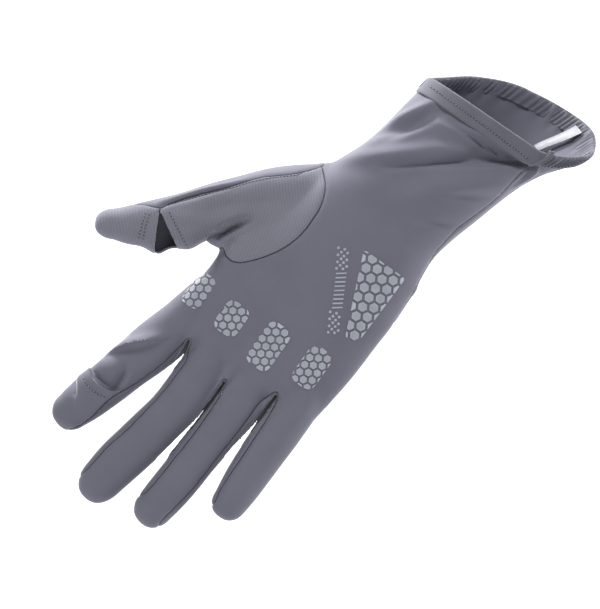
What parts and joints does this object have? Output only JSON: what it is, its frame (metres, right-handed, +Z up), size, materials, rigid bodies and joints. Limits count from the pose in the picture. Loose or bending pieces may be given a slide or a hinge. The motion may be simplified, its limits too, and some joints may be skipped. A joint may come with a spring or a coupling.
{
  "type": "sun glove",
  "caption": "thin full-finger sun glove for a right hand, shown worn, with a gathered cuff, ribbed thumb, opening thumb and index tips and honeycomb grip prints on the palm",
  "frame": {"origin": "the middle of the wrist opening, level with the cuff's palm side", "axes": "+Z runs up the forearm out of the cuff, so the fingers hang down; the palm faces -Y and the thumb points to -X"},
  "size_m": [0.1557, 0.0534, 0.251],
  "materials": {
    "cloth": "matte stretch knit, grey with a violet cast",
    "ribbed_cloth": "matte knit with fine ribs along the thumb",
    "band_cloth": "matte knit, folded and stitched at the cuff, gathered over elastic at the back",
    "label": "smooth white woven tape, blank",
    "grip_print": "semi-gloss silicone print in small hexagons"
  },
  "bodies": {
    "root": {"back_panel": "cloth", "palm_panel": "cloth", "thumb_panel": "ribbed_cloth", "thumb_cap": "ribbed_cloth", "index_cap": "cloth", "wrist_band": "band_cloth", "elastic_band": "band_cloth", "care_label": "label", "grip_pad_index": "grip_print", "grip_pad_middle": "grip_print", "grip_pad_ring": "grip_print", "grip_pad_little": "grip_print", "grip_pad_heel": "grip_print"}
  },
  "joints": []
}
